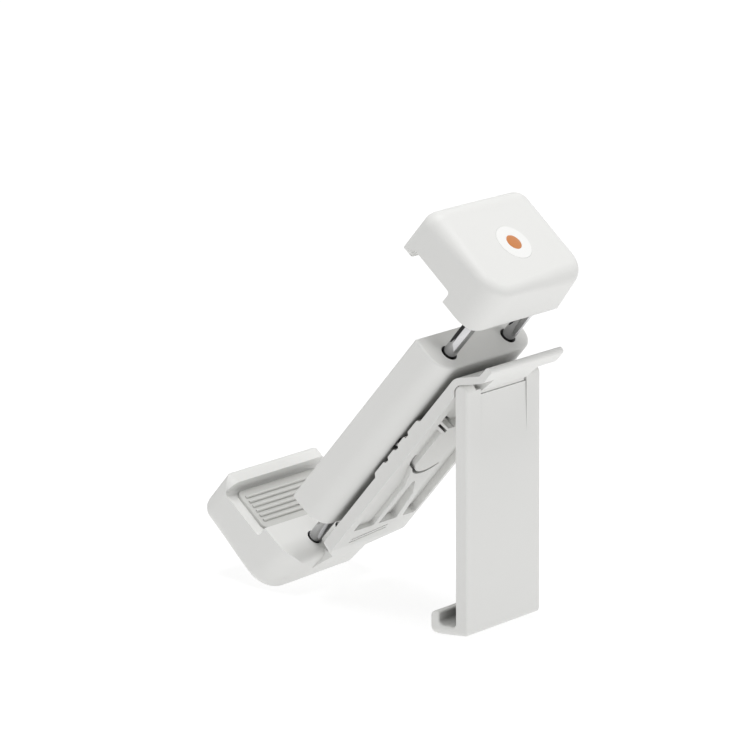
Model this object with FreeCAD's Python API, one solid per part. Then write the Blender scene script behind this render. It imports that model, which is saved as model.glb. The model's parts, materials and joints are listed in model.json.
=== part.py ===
"""Desk phone holder: a telescopic clamp with two jaws, steel guide rods and a folding kickstand.

Holder frame, before the lean: x across the holder with its middle plane at 0, y towards the
open side of the clamp with the bearing face of the rest pad at 0, z along the clamping direction
with the bearing face of the lower jaw's pad at 0. The finished frame is the same one leaned back
until the lower jaw and the kickstand foot both touch the ground, with its origin at the bottom
centre of the bounding box.
"""
import FreeCAD, Part
import math
import os
from FreeCAD import Vector

# Grip, in millimetres
grip_opening = 74.5
grip_depth = 11.8
pad_thickness = 1.0
holder_width = 31.0

# Jaws
jaw_back = 9.6
jaw_back_draft = 1.0
lip_thickness = 3.1
lip_reach = 1.9
cap_thickness = 8.8
skirt_drop = 2.7
jaw_front_corner = 3.4
jaw_back_corner = 5.5
jaw_side_radius = 3.3
jaw_back_radius = 2.0
jaw_front_radius = 3.1
rim_fillet_margin = 0.1
lip_end_radius = 1.3
lip_corner_radius = 2.5
skirt_end_radius = 2.0
slot_corner_radius = 0.8
pad_margin = 2.5
pad_corner_radius = 1.5

# Guide rods
rod_diameter = 2.8
rod_back = 5.45
upper_rod_spacing = 19.1
lower_rod_spacing = 9.0
rod_seat_depth = 6.5
rod_mouth_gap = 0.3
rod_mouth_depth = 1.6
rod_end_chamfer = 0.3

# Rod end clips
clip_thickness = 0.6
clip_wall = 0.35
clip_groove_depth = 0.3
clip_from_end = 1.6
clip_gap = 1.2
clip_play = 0.05

# Housing
housing_depth = 8.9
housing_front = 0.3
housing_back_radius = 4.5
housing_front_radius = 0.6
housing_end_radius = 0.5
housing_wall = 1.6
housing_end_wall = 4.0
end_bore_gap = 0.4
cover_thickness = 1.6
cover_margin = 1.8
cover_play = 0.05
rest_pad_width = 18.0
rest_pad_margin = 8.0
rest_pad_radius = 3.0

# Sliding bushes
bush_length = 8.0
bush_wall = 0.65
bush_play = 0.02
rod_play = 0.05
bush_block_wall = 1.0

# Travel of the two telescopic stages
closing_travel = 10.6
opening_travel = 8.0
closed_gap = 0.3
stop_play = 0.1

# Friction spring on the upper rods
friction_spring_width = 3.4
friction_spring_thickness = 0.3
friction_spring_play = 0.05
friction_spring_foot = 3.0
friction_spring_crown = 6.0
friction_spring_end_gap = 2.2

# Back plate
plate_width = 23.8
plate_gap = 1.45
plate_thickness = 2.5
plate_bottom = 8.6
neck_width = 8.0
neck_root = 1.7
neck_root_step = 0.5
neck_back_root = -4.5
neck_front_rise = 3.3
neck_root_radius = 1.0
plate_corner_radius = 1.2
neck_bend_radius = 3.0

# Pockets and grooves in the back of the plate, with widths and heights as seen from behind
pocket_bottom = 14.2
pocket_depth = 1.0
deep_pocket_depth = 1.6
head_pocket_depth = 1.9
pocket_radius = 0.5
left_rim = 2.9
right_rim = 0.9
left_pocket_width = 6.4
left_pocket_knee = 27.0
tongue_half = 5.2
tongue_foot = 33.0
left_pocket_top = 47.2
left_pocket_slope = 2.7
blade_pocket_left = -0.9
blade_pocket_right = 4.9
blade_pocket_shoulder = (3.5, 22.7)
blade_pocket_tip = (-0.5, 28.8)
right_pocket_foot = 6.9
right_pocket_bends = ((4.9, 24.2), (4.1, 30.0), (4.6, 34.6))
head_pocket_bottom = 45.5
head_pocket_top = 54.6
head_pocket_knee = -3.6
head_pocket_rise = 3.8
slit_width = 0.6
upper_slit_ends = ((-9.0, 48.3), (-3.6, 44.5))
inner_slit_ends = ((-5.1, 47.8), (-1.6, 45.5))
disc_radius = 5.5
disc_height = 36.55
disc_groove_width = 0.7
foot_groove_left = (-7.0, 9.9)
foot_groove_right = (3.7, 11.5)
foot_groove_width = 0.3
foot_groove_depth = 0.3
foot_groove_pitch = 1.0
lock_hole_place = (-8.5, 53.4)
lock_hole_diameter = 1.0

# Hood over the kickstand hinge
hood_thickness = 1.5
hood_start = 60.7
hood_run = 3.95
hood_rise = 5.1
hood_lip_height = 2.9
hood_root_radius = 3.0
hood_radius = 1.5
hood_inner_radius = 2.4
hood_lip_radius = 0.65

# Detent rack on the plate and its springs
rack_pitch = 3.95
rack_notches = 3
rack_end_land = 4.3
rack_rise = 0.7
rack_slope = 0.6
rack_notch_width = 1.7
rack_notch_depth = 0.55
rack_side_margin = 0.3
detent_play = 0.1
detent_width = 2.0
detent_thickness = 0.3
detent_arm = 4.4
detent_end_gap = 0.45
detent_side_gap = 0.1
detent_nose_half = 1.5
detent_wall_play = 0.05
detent_window_play = 0.3

# Kickstand
leg_width = 24.2
leg_thickness = 3.0
leg_length = 48.15
leg_head = 3.3
leg_head_radius = 1.47
leg_open_angle = 40.8
leg_fold_gap = 0.37
leg_stop_gap = 0.3
leg_edge_radius = 0.5
leg_bottom_radius = 2.0
foot_depth = 9.3
foot_slope = 1.0
foot_lip_thickness = 2.1
foot_lip_height = 5.0
foot_lip_inner_radius = 0.5
foot_lip_outer_radius = 1.0
foot_floor = 1.35
foot_heel_radius = 0.8
foot_toe_radius = 1.2
foot_cavity_radius = 0.9
relief_width = 15.0
relief_depth = 0.25
relief_length = 13.0

# Kickstand hinge: a knuckle of the plate between the two cheeks of the leg
hinge_height = 58.1
pin_diameter = 1.1
pin_forward = 0.3
pin_play = 0.04
pin_blind_wall = 0.8
pin_chamfer = 0.12
knuckle_width = 14.2
knuckle_wall = 0.55
knuckle_play = 0.1
knuckle_land_step = 0.35
knuckle_land_play = 0.12
tab_foot = 1.7
tab_reach = 3.45
skin_top = 0.93
washer_thickness = 0.25
washer_wall = 0.45
washer_play = 0.05
fork_notch_width = 1.65
fork_notch_drop = 1.2
fork_notch_depth = 1.5

# Badge on the upper jaw
badge_diameter = 8.3
badge_forward = 2.2
badge_thickness = 0.8
badge_proud = 0.05
badge_play = 0.02

# Small amounts used by the cuts: how far a cutter runs past a face, and what counts as touching
past = 1.0
touching = 1e-6

# Places that follow from the sizes above
grip_middle = grip_opening / 2
jaw_inner = grip_opening + pad_thickness
jaw_top = jaw_inner + cap_thickness
jaw_front = grip_depth + lip_thickness
jaw_top_back = jaw_back - jaw_back_draft
skirt_end = jaw_inner - skirt_drop
lip_end = grip_opening - lip_reach
jaw_back_slope = jaw_back_draft / (jaw_top - skirt_end)
rod_radius = rod_diameter / 2
clip_radius = rod_radius + clip_wall
bush_radius = rod_radius + rod_play + bush_wall
housing_top = skirt_end - closing_travel - closed_gap
housing_bottom = grip_opening - housing_top
housing_back = housing_front + housing_depth
housing_inner_back = housing_back - housing_wall
cover_back = housing_front + cover_thickness
friction_spring_top = housing_top - housing_end_wall - friction_spring_end_gap
bush_top = friction_spring_top - friction_spring_width - bush_block_wall
bush_low = bush_top - bush_length
rod_end = bush_low - stop_play - opening_travel - clip_thickness - clip_from_end
rack_middle = bush_low - detent_end_gap - detent_arm
detent_middle = holder_width / 2 - housing_back_radius - detent_side_gap - detent_width / 2
plate_front = housing_back + plate_gap
plate_back = plate_front + plate_thickness
hinge_floor = plate_front + hood_thickness
leg_back_reach = leg_thickness / 2 + pin_forward
leg_front_reach = leg_thickness / 2 - pin_forward
pivot_back = plate_back + leg_fold_gap + leg_front_reach
pin_radius = pin_diameter / 2
knuckle_radius = pin_radius + knuckle_wall
fork_half = knuckle_width / 2 + washer_thickness + 2 * washer_play


def at(y, z, x=0.0):
    """Point of the holder frame, with y and z first because most profiles lie in that plane."""
    return Vector(x, y, z)


def rounded_wire(points, radii):
    """Closed wire through the points, each corner rounded by its own radius."""
    count = len(points)
    starts = []
    ends = []
    middles = []
    for index in range(count):
        corner = points[index]
        to_last = (points[index - 1] - corner).normalize()
        to_next = (points[(index + 1) % count] - corner).normalize()
        radius = radii[index]
        half = to_last.getAngle(to_next) / 2
        if radius <= 0:
            starts.append(corner)
            ends.append(corner)
            middles.append(None)
            continue
        reach = radius / math.tan(half)
        bisector = (to_last + to_next).normalize()
        centre = corner + bisector * (radius / math.sin(half))
        starts.append(corner + to_last * reach)
        ends.append(corner + to_next * reach)
        middles.append(centre - bisector * radius)
    edges = []
    for index in range(count):
        if middles[index] is not None:
            edges.append(Part.Arc(starts[index], middles[index], ends[index]).toShape())
        following = starts[(index + 1) % count]
        if ends[index].distanceToPoint(following) > touching:
            edges.append(Part.makeLine(ends[index], following))
    return Part.Wire(edges)


def prism(points, radii, depth):
    """Solid made by pushing a rounded outline along a vector."""
    return Part.Face(rounded_wire(points, radii)).extrude(depth)


def side_prism(outline, radii, width, middle=0.0):
    """Solid with an outline given as (y, z) pairs, as wide as told along x."""
    start = middle - width / 2
    points = [at(y, z, start) for y, z in outline]
    return prism(points, radii, Vector(width, 0, 0))


def back_prism(outline, radii, near, far):
    """Solid with an outline given as (x, z) pairs, from y = near to y = far."""
    points = [at(near, z, x) for x, z in outline]
    return prism(points, radii, Vector(0, far - near, 0))


def block(x_range, y_range, z_range):
    """Plain box between the given limits."""
    corner = Vector(min(x_range), min(y_range), min(z_range))
    return Part.makeBox(
        abs(x_range[1] - x_range[0]),
        abs(y_range[1] - y_range[0]),
        abs(z_range[1] - z_range[0]),
        corner,
    )


def rounded_plate(width, y_range, z_range, radius, middle=0.0):
    """Flat plate square to y, with rounded corners."""
    left = middle - width / 2
    right = middle + width / 2
    outline = [(left, z_range[0]), (right, z_range[0]), (right, z_range[1]), (left, z_range[1])]
    return back_prism(outline, [radius] * 4, y_range[0], y_range[1])


def post(x, y, z_range, radius):
    """Cylinder along z."""
    return Part.makeCylinder(radius, z_range[1] - z_range[0], at(y, z_range[0], x), Vector(0, 0, 1))


def both_sides(half_spacing):
    """Left and right places of a pair."""
    return (("left", -half_spacing), ("right", half_spacing))


def mirrored_low(shape):
    """Copy of an upper shape turned over to the lower end of the grip."""
    return shape.mirror(at(0, grip_middle), Vector(0, 0, 1))


def fillet_with(shape, edge_radii):
    """Fillet whose radius may change along each edge: (edge number, start, end) triples."""
    document = FreeCAD.newDocument("fillet")
    base = document.addObject("Part::Feature", "base")
    base.Shape = shape
    rounded = document.addObject("Part::Fillet", "rounded")
    rounded.Base = base
    rounded.Edges = edge_radii
    document.recompute()
    result = rounded.Shape.copy()
    FreeCAD.closeDocument(document.Name)
    return Part.Solid(result.Solids[0])


def edges_along(shape, direction):
    """Straight edges that run along a direction, give or take a draft angle."""
    mostly_along = math.cos(math.radians(20))
    found = []
    for edge in shape.Edges:
        if isinstance(edge.Curve, Part.Line):
            if abs(edge.tangentAt(edge.FirstParameter).dot(direction)) > mostly_along:
                found.append(edge)
    return found


def clockwise(first, last):
    """The two ends of an edge, in clockwise order about the z axis."""
    if first.cross(last).z > 0:
        return last, first
    return first, last


def jaw_top_radius(point):
    """Rounding of the jaw's top rim: small at the back, larger at the front and sides."""
    if abs(point.y + jaw_top_back) < touching:
        return jaw_back_radius
    limit = jaw_front_corner - rim_fillet_margin
    if abs(point.y - jaw_front) < touching:
        return min(jaw_front_radius, limit)
    return min(jaw_side_radius, limit)


def jaw_block():
    """Outer pebble of the upper jaw, before its slot is cut."""
    foot_back = jaw_back + (skirt_end - lip_end) * jaw_back_slope
    outline = [(-foot_back, lip_end), (jaw_front, lip_end), (jaw_front, jaw_top), (-jaw_top_back, jaw_top)]
    shape = side_prism(outline, [0] * len(outline), holder_width)
    for front, radius in ((True, jaw_front_corner), (False, jaw_back_corner)):
        uprights = edges_along(shape, Vector(0, 0, 1))
        chosen = [edge for edge in uprights if (edge.CenterOfMass.y > 0) == front and edge_is_side(edge)]
        shape = shape.makeFillet(radius, chosen)
    rim = []
    for number, edge in enumerate(shape.Edges, start=1):
        ends = clockwise(edge.Vertexes[0].Point, edge.Vertexes[-1].Point)
        if all(abs(end.z - jaw_top) < touching for end in ends):
            rim.append((number, jaw_top_radius(ends[0]), jaw_top_radius(ends[1])))
    return fillet_with(shape, rim)


def edge_is_side(edge):
    """Whether an edge lies on a side face of the jaw's block."""
    return abs(abs(edge.CenterOfMass.x) - holder_width / 2) < touching


def jaw_shape():
    """Upper jaw moulding: cap over the edge, front lip and back skirt."""
    shape = jaw_block()
    over = holder_width
    high = jaw_top + over
    low = lip_end - over
    slot = [(0.0, low), (grip_depth, low), (grip_depth, jaw_inner), (0.0, jaw_inner)]
    shape = shape.cut(side_prism(slot, [0, 0, slot_corner_radius, slot_corner_radius], over * 2))
    shape = shape.cut(block((-over, over), (-over, slot_corner_radius), (low, skirt_end)))
    keep_back = [
        (-jaw_back, skirt_end),
        (over, skirt_end),
        (over, high),
        (-jaw_back + jaw_back_slope * (high - skirt_end), high),
    ]
    rounded_back = side_prism(keep_back, [skirt_end_radius, 0, 0, 0], over * 2)
    half = holder_width / 2
    lip_outline = [(-half, lip_end), (half, lip_end), (half, high), (-half, high)]
    lip_radii = [lip_corner_radius, lip_corner_radius, 0, 0]
    lip_zone = back_prism(lip_outline, lip_radii, grip_depth, over)
    lip_round = [(grip_depth, lip_end), (jaw_front, lip_end), (jaw_front, high), (grip_depth, high)]
    lip_side = side_prism(lip_round, [0, lip_end_radius, 0, 0], over * 2)
    front = shape.common(lip_zone).common(lip_side)
    back = shape.common(block((-over, over), (-over, grip_depth), (low, high)))
    back = back.common(rounded_back)
    return back.fuse(front).removeSplitter()


def with_rod_seats(shape, spacing):
    """Jaw with a blind seat and a wider mouth for each of its two rods."""
    low = skirt_end - past
    mouth = rod_radius + rod_mouth_gap
    for side, x in both_sides(spacing / 2):
        shape = shape.cut(post(x, -rod_back, (low, skirt_end + rod_seat_depth), rod_radius))
        shape = shape.cut(post(x, -rod_back, (low, skirt_end + rod_mouth_depth), mouth))
    return shape


def badge_shape():
    """Round badge set in the top of the upper jaw."""
    high = jaw_top + badge_proud
    shape = post(0, badge_forward, (jaw_top - badge_thickness, high), badge_diameter / 2)
    top_edges = [edge for edge in shape.Edges if abs(edge.CenterOfMass.z - high) < touching]
    return shape.makeFillet(badge_proud, top_edges)


def badge_seat():
    """Round recess that takes the badge."""
    z_range = (jaw_top - badge_thickness, jaw_top + past)
    return post(0, badge_forward, z_range, badge_diameter / 2 + badge_play)


def jaw_pad():
    """Soft pad on the inside of the upper jaw, with its bearing face at the grip opening."""
    half = holder_width / 2 - pad_margin
    side = slot_corner_radius
    points = [
        Vector(-half, side, grip_opening),
        Vector(half, side, grip_opening),
        Vector(half, grip_depth - side, grip_opening),
        Vector(-half, grip_depth - side, grip_opening),
    ]
    return prism(points, [pad_corner_radius] * 4, Vector(0, 0, pad_thickness))


def rod(x):
    """Upper guide rod with a clip groove near its free end."""
    shape = post(x, -rod_back, (rod_end, skirt_end + rod_seat_depth), rod_radius)
    rims = [edge for edge in shape.Edges if isinstance(edge.Curve, Part.Circle)]
    shape = shape.makeChamfer(rod_end_chamfer, rims)
    return shape.cut(clip_ring(x, clip_groove_depth, 2 * clip_play, 0.0))


def clip_ring(x, depth, extra, gap):
    """Ring round a rod near its free end, reaching into the rod by the given depth."""
    low = rod_end + clip_from_end - extra / 2
    high = low + clip_thickness + extra
    shape = post(x, -rod_back, (low, high), clip_radius)
    beyond = (low - past, high + past)
    shape = shape.cut(post(x, -rod_back, beyond, rod_radius - depth))
    if gap > 0:
        mouth = block((x - gap / 2, x + gap / 2), (-rod_back, -rod_back + clip_radius + past), beyond)
        shape = shape.cut(mouth)
    return shape


def rod_clip(x):
    """Spring clip that stops the rod at its end of travel."""
    return clip_ring(x, clip_groove_depth - clip_play, 0.0, clip_gap)


def bush(x):
    """Plain sliding bush for an upper guide rod."""
    shape = post(x, -rod_back, (bush_low, bush_top), bush_radius)
    return shape.cut(post(x, -rod_back, (bush_low - past, bush_top + past), rod_radius + rod_play))


def housing_prism(inset, z_range):
    """Prism with the housing's D section, drawn in by the given wall."""
    half = holder_width / 2 - inset
    front = -housing_front - inset
    back = -housing_back + inset
    corner = max(housing_back_radius - inset, housing_front_radius)
    nose = housing_front_radius
    points = [
        Vector(-half, front, z_range[0]),
        Vector(half, front, z_range[0]),
        Vector(half, back, z_range[0]),
        Vector(-half, back, z_range[0]),
    ]
    return prism(points, [nose, nose, corner, corner], Vector(0, 0, z_range[1] - z_range[0]))


def bush_blocks():
    """Blocks inside the housing that hold the upper and the lower bushes."""
    half = holder_width / 2 - housing_wall
    y_range = (-cover_back, -housing_inner_back)
    outer = upper_rod_spacing / 2 - bush_radius - bush_block_wall
    middle = lower_rod_spacing / 2 + bush_radius + bush_block_wall
    blocks = [block((sign * outer, sign * half), y_range, (bush_low, bush_top)) for sign in (-1, 1)]
    blocks.append(block((-middle, middle), y_range, (grip_opening - bush_top, grip_opening - bush_low)))
    return blocks


def housing_shape():
    """Housing moulding: D section, closed ends, open front, blocks for the bushes."""
    shape = housing_prism(0.0, (housing_bottom, housing_top))
    rims = []
    for edge in shape.Edges:
        heights = [vertex.Point.z for vertex in edge.Vertexes]
        if max(heights) - min(heights) < touching:
            rims.append(edge)
    shape = shape.makeFillet(housing_end_radius, rims)
    half = holder_width / 2 - housing_wall
    room_range = (housing_bottom + housing_end_wall, housing_top - housing_end_wall)
    room = housing_prism(housing_wall, room_range)
    room = room.fuse(block((-half, half), (-housing_front, -cover_back - past), room_range))
    shape = shape.cut(room).cut(cover_solid(0.0))
    limit = housing_prism(housing_wall / 2, (housing_bottom, housing_top))
    for piece in bush_blocks():
        shape = shape.fuse(piece.common(limit))
    seat = bush_radius + bush_play
    bore = rod_radius + end_bore_gap
    for side, x in both_sides(upper_rod_spacing / 2):
        shape = shape.cut(post(x, -rod_back, (bush_low - past, bush_top + past), seat))
        shape = shape.cut(post(x, -rod_back, (room_range[1] - past, housing_top + past), bore))
    for side, x in both_sides(lower_rod_spacing / 2):
        low_range = (grip_opening - bush_top - past, grip_opening - bush_low + past)
        shape = shape.cut(post(x, -rod_back, low_range, seat))
        shape = shape.cut(post(x, -rod_back, (housing_bottom - past, room_range[0] + past), bore))
    for side, x in both_sides(detent_middle):
        shape = shape.cut(detent_window(x))
    return shape.removeSplitter()


def cover_solid(play):
    """Front cover of the housing, or its seat when the play is nought."""
    width = holder_width - 2 * cover_margin - 2 * play
    z_range = (housing_bottom + cover_margin + play, housing_top - cover_margin - play)
    return rounded_plate(width, (-cover_back, -housing_front), z_range, housing_wall)


def rest_pad():
    """Soft pad on the housing's cover, with its bearing face at y = 0."""
    z_range = (housing_bottom + rest_pad_margin, housing_top - rest_pad_margin)
    return rounded_plate(rest_pad_width, (-housing_front, 0.0), z_range, rest_pad_radius)


def friction_spring():
    """Bowed leaf between the cover and the two upper rods."""
    rest = -rod_back + rod_radius + friction_spring_play
    crown = -cover_back - friction_spring_play - friction_spring_thickness
    tip = upper_rod_spacing / 2 + friction_spring_foot / 2
    heel = upper_rod_spacing / 2 - friction_spring_foot / 2
    under = [(-tip, rest), (-heel, rest), (-friction_spring_crown / 2, crown)]
    under += [(-x, y) for x, y in reversed(under)]
    over = [(x, y + friction_spring_thickness) for x, y in reversed(under)]
    low = friction_spring_top - friction_spring_width
    points = [Vector(x, y, low) for x, y in under + over]
    return prism(points, [0] * len(points), Vector(0, 0, friction_spring_width))


def detent_window(x):
    """Window in the back wall of the housing that the nose of a detent spring comes through."""
    half = detent_width / 2 + detent_window_play
    reach = detent_nose_half + detent_window_play
    z_range = (rack_middle - reach, rack_middle + reach)
    return block((x - half, x + half), (-housing_back - past, -housing_inner_back + past), z_range)


def detent_spring(x):
    """Leaf along the back wall with a bent nose that clicks along the rack."""
    inside = -housing_inner_back + detent_wall_play
    tip = -plate_front + rack_rise + detent_play
    z = rack_middle
    half = detent_nose_half
    thick = detent_thickness
    nose = thick / 2
    outer = [
        (inside, z + detent_arm),
        (inside, z + half),
        (tip, z + nose),
        (tip, z - nose),
        (inside, z - half),
        (inside, z - detent_arm),
    ]
    inner = [
        (inside + thick, z - detent_arm),
        (inside + thick, z - half + thick),
        (tip + thick * 2, z),
        (inside + thick, z + half - thick),
        (inside + thick, z + detent_arm),
    ]
    outline = outer + inner
    return side_prism(outline, [0] * len(outline), detent_width, x)


def hood_outline():
    """Front and back lines of the hood that curls over the hinge, from the plate to its lip."""
    front = -plate_front
    foot = front - hood_run
    top = hood_start + hood_rise
    lip_top = top + hood_lip_height
    slope = math.atan2(hood_run, hood_rise)
    drop = hood_thickness / math.tan((math.pi - slope) / 2)
    outer = [(front, hood_start), (foot, top), (foot, lip_top)]
    inner = [
        (foot - hood_thickness, lip_top),
        (foot - hood_thickness, top - drop),
        (front - hood_thickness, hood_start - drop),
    ]
    return outer, inner


def plate_profile():
    """Side profile of the back plate, from the neck up to the hood."""
    hood_outer, hood_inner = hood_outline()
    front = -plate_front
    back = -plate_back
    root = -jaw_back + skirt_end_radius
    neck_end = -jaw_back + jaw_back_slope * (neck_root - neck_back_root)
    outline = [
        (root, neck_back_root),
        (root, neck_root - neck_root_step),
        (-jaw_back, neck_root),
        (front, neck_root + neck_front_rise),
    ]
    radii = [0, 0, 0, hood_radius]
    outline += hood_outer
    radii += [hood_root_radius, hood_radius, hood_lip_radius]
    outline += hood_inner
    radii += [hood_lip_radius, hood_inner_radius, hood_radius]
    angle = math.radians(leg_open_angle)
    face_y = -pivot_back + leg_front_reach * math.cos(angle)
    face_z = hinge_height - leg_front_reach * math.sin(angle)
    ledge = face_z + (back - face_y) / math.tan(angle) - leg_stop_gap / math.sin(angle)
    outline += [
        (-hinge_floor, ledge + (plate_back - hinge_floor) / math.tan(angle)),
        (back, ledge),
        (back, plate_bottom),
        (neck_end, neck_back_root),
    ]
    radii += [pocket_radius, pocket_radius, neck_bend_radius, 0]
    return outline, radii


def plate_outline():
    """Back view of the plate: a narrow neck that spreads to the full width."""
    half = plate_width / 2
    neck = neck_width / 2
    top = grip_opening
    low = neck_back_root - past
    outline = [
        (-neck, low),
        (neck, low),
        (neck, neck_root),
        (half, plate_bottom),
        (half, top),
        (-half, top),
        (-half, plate_bottom),
        (-neck, neck_root),
    ]
    corner = plate_corner_radius
    return outline, [0, 0, neck_root_radius, corner, 0, 0, corner, neck_root_radius]


def back_cut(outline, depth):
    """Cutter for a hollow of a given depth in the back of the plate."""
    radii = [pocket_radius] * len(outline)
    return back_prism(outline, radii, -plate_back - past, -plate_back + depth)


def slit(ends, width):
    """Outline of a narrow straight slit between two points of the plate's back."""
    (x_1, z_1), (x_2, z_2) = ends
    length = math.hypot(x_2 - x_1, z_2 - z_1)
    across = (width / 2 * (z_1 - z_2) / length, width / 2 * (x_2 - x_1) / length)
    return [
        (x_1 - across[0], z_1 - across[1]),
        (x_2 - across[0], z_2 - across[1]),
        (x_2 + across[0], z_2 + across[1]),
        (x_1 + across[0], z_1 + across[1]),
    ]


def narrow_cut(ends, width, depth):
    """Cutter for a narrow square-ended slit in the back of the plate."""
    return back_prism(slit(ends, width), [0] * 4, -plate_back - past, -plate_back + depth)


def plate_hollows():
    """Pockets, slits and grooves in the back of the plate, and the small lock hole."""
    left = -plate_width / 2 + left_rim
    right = plate_width / 2 - right_rim
    left_pocket = [
        (left, pocket_bottom),
        (left + left_pocket_width, pocket_bottom),
        (left + left_pocket_width, left_pocket_knee),
        (-tongue_half, tongue_foot),
        (-tongue_half, left_pocket_top - left_pocket_slope),
        (left, left_pocket_top),
    ]
    blade_pocket = [
        (blade_pocket_left, pocket_bottom),
        (blade_pocket_right, pocket_bottom),
        blade_pocket_shoulder,
        blade_pocket_tip,
    ]
    right_pocket = [
        (right, pocket_bottom),
        (right, head_pocket_bottom + pocket_radius),
        (tongue_half, head_pocket_bottom + pocket_radius),
        (tongue_half, disc_height),
        *reversed(right_pocket_bends),
        (right_pocket_foot, pocket_bottom),
    ]
    head_pocket = [
        (left, head_pocket_bottom + head_pocket_rise),
        (head_pocket_knee, head_pocket_bottom),
        (right, head_pocket_bottom),
        (right, head_pocket_top),
        (left, head_pocket_top),
    ]
    hollows = [
        back_cut(left_pocket, pocket_depth),
        back_cut(blade_pocket, deep_pocket_depth),
        back_cut(right_pocket, deep_pocket_depth),
        back_cut(head_pocket, head_pocket_depth),
        narrow_cut(upper_slit_ends, slit_width, head_pocket_depth),
        narrow_cut(inner_slit_ends, slit_width, plate_thickness + past),
    ]
    for number in range(2):
        rise = foot_groove_pitch * number
        low_end = (foot_groove_left[0], foot_groove_left[1] + rise)
        high_end = (foot_groove_right[0], foot_groove_right[1] + rise)
        ends = (low_end, high_end)
        hollows.append(narrow_cut(ends, foot_groove_width, foot_groove_depth))
    x, z = lock_hole_place
    start = at(-plate_back - past, z, x)
    depth = plate_thickness + 2 * past
    hollows.append(Part.makeCylinder(lock_hole_diameter / 2, depth, start, Vector(0, 1, 0)))
    return hollows


def disc_groove():
    """Groove round the lower half of the flat disc in the middle of the plate's back."""
    outer = disc_radius + disc_groove_width
    centre = at(-plate_back - past, disc_height)
    depth = deep_pocket_depth + past
    axis = Vector(0, 1, 0)
    core = Part.makeCylinder(disc_radius, depth, centre, axis)
    ring = Part.makeCylinder(outer, depth, centre, axis).cut(core)
    y_range = (-plate_back - past, -plate_back + deep_pocket_depth)
    return ring.common(block((-outer, outer), y_range, (disc_height - outer, disc_height)))


def rack_outline():
    """Side profile of a rack: a raised strip with sloping ends and round-bottomed notches."""
    base = -plate_front - rack_slope
    face = -plate_front + rack_rise
    half_span = rack_pitch * (rack_notches - 1) / 2 + rack_end_land
    half_notch = rack_notch_width / 2
    outline = [
        (base, rack_middle - half_span - rack_slope),
        (-plate_front, rack_middle - half_span - rack_slope),
        (face, rack_middle - half_span),
    ]
    radii = [0, 0, rack_slope / 2]
    for number in range(rack_notches):
        z = rack_middle + rack_pitch * (number - (rack_notches - 1) / 2)
        outline += [
            (face, z - half_notch),
            (face - rack_notch_depth, z - half_notch / 2),
            (face - rack_notch_depth, z + half_notch / 2),
            (face, z + half_notch),
        ]
        radii += [0, half_notch / 3, half_notch / 3, 0]
    outline += [
        (face, rack_middle + half_span),
        (-plate_front, rack_middle + half_span + rack_slope),
        (base, rack_middle + half_span + rack_slope),
    ]
    radii += [rack_slope / 2, 0, 0]
    return outline, radii


def rack(sign):
    """Detent rack along one side edge of the plate's front."""
    outline, radii = rack_outline()
    inner = detent_middle - detent_width / 2 - rack_side_margin
    outer = plate_width / 2
    return side_prism(outline, radii, outer - inner, sign * (inner + outer) / 2)


def on_leg(y, z):
    """Place in the side view of a point given beside the hinge pin, along the open leg."""
    angle = math.radians(leg_open_angle)
    along = y * math.cos(angle) + z * math.sin(angle)
    up = z * math.cos(angle) - y * math.sin(angle)
    return (along - pivot_back, up + hinge_height)


def hinge_knuckle():
    """Knuckle of the plate that carries the hinge pin, with the tab that joins it to the hood."""
    left = -knuckle_width / 2
    start = at(-pivot_back, hinge_height, left)
    barrel = Part.makeCylinder(knuckle_radius, knuckle_width, start, Vector(1, 0, 0))
    z_range = (hinge_height - knuckle_radius, hinge_height + knuckle_radius)
    web = block((left, -left), (-pivot_back, -hinge_floor + hood_thickness / 2), z_range)
    hood_inner = hood_outline()[1]
    (top_y, top_z), (low_y, low_z) = hood_inner[1], hood_inner[2]
    share = tab_reach / hood_run
    under = (low_y + (top_y - low_y) * share, low_z + (top_z - low_z) * share)
    land = leg_back_reach - knuckle_land_step
    tab = [
        on_leg(0, skin_top + knuckle_land_play),
        on_leg(-land, skin_top + knuckle_land_play),
        on_leg(-land, tab_foot),
        on_leg(-leg_back_reach, tab_foot),
        under,
        (under[0] + hood_thickness / 2, under[1]),
        (low_y + hood_thickness / 2, low_z),
        (low_y + hood_thickness / 2, hinge_height),
    ]
    return barrel.fuse(web).fuse(side_prism(tab, [0] * len(tab), knuckle_width))


def back_plate():
    """Plate that rises from the lower jaw behind the housing, with its hood and hinge knuckle."""
    outline, radii = plate_profile()
    shape = side_prism(outline, radii, plate_width)
    outline, radii = plate_outline()
    shape = shape.common(back_prism(outline, radii, -plate_back - plate_width, 0.0))
    for hollow in plate_hollows():
        shape = shape.cut(hollow)
    shape = shape.cut(disc_groove())
    for sign in (-1, 1):
        shape = shape.fuse(rack(sign))
    shape = shape.fuse(hinge_knuckle())
    start = at(-pivot_back, hinge_height, -plate_width / 2)
    return shape.cut(Part.makeCylinder(pin_radius, plate_width, start, Vector(1, 0, 0)))


def leg_frame(shape):
    """Kickstand shape, drawn hanging from its pin, moved to its open place on the holder."""
    shape = shape.copy()
    shape.rotate(Vector(0, 0, 0), Vector(1, 0, 0), -leg_open_angle)
    shape.translate(at(-pivot_back, hinge_height))
    return shape


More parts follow.
